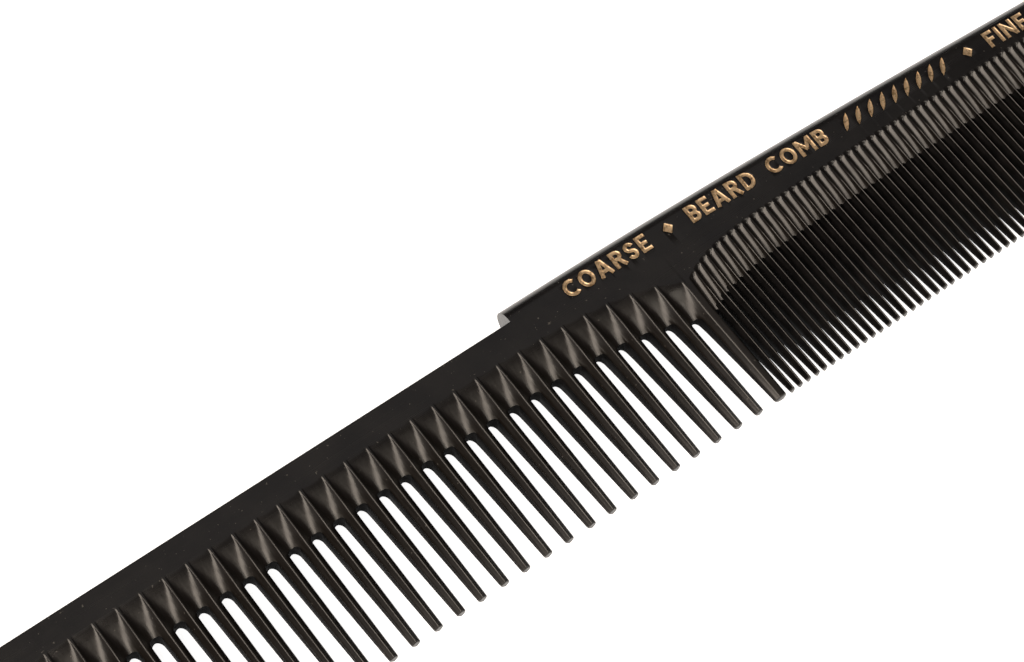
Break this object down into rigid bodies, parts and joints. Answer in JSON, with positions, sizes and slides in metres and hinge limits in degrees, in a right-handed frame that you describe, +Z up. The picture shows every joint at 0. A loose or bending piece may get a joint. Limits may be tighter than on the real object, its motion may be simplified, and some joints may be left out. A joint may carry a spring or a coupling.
{
  "type": "barber comb",
  "caption": "Flat two-section comb with a coarse half and a fine half, a stepped rounded back and a gold-stamped row on its face.",
  "frame": {"origin": "centre of the comb's length and height, on the surface it lies on", "axes": "+X along the back towards the fine end, +Y from the tooth tips to the back, +Z up out of the stamped face"},
  "size_m": [0.19, 0.0276, 0.0048],
  "materials": {
    "hard_rubber": "hand-polished black hard rubber",
    "gold_foil": "hot-stamped gold foil, slightly worn"
  },
  "bodies": {
    "root": {"comb_body": "hard_rubber", "foil_coarse_c": "gold_foil", "foil_coarse_o": "gold_foil", "foil_coarse_a": "gold_foil", "foil_coarse_r": "gold_foil", "foil_coarse_s": "gold_foil", "foil_coarse_e": "gold_foil", "foil_lozenge_1": "gold_foil", "foil_beard_b": "gold_foil", "foil_beard_e": "gold_foil", "foil_beard_a": "gold_foil", "foil_beard_r": "gold_foil", "foil_beard_d": "gold_foil", "foil_comb_c": "gold_foil", "foil_comb_o": "gold_foil", "foil_comb_m": "gold_foil", "foil_comb_b": "gold_foil", "foil_leaf_1": "gold_foil", "foil_leaf_2": "gold_foil", "foil_leaf_3": "gold_foil", "foil_leaf_4": "gold_foil", "foil_leaf_5": "gold_foil", "foil_leaf_6": "gold_foil", "foil_leaf_7": "gold_foil", "foil_leaf_8": "gold_foil", "foil_leaf_9": "gold_foil", "foil_lozenge_2": "gold_foil", "foil_fine_f": "gold_foil", "foil_fine_i": "gold_foil", "foil_fine_n": "gold_foil", "foil_fine_e": "gold_foil"}
  },
  "joints": []
}
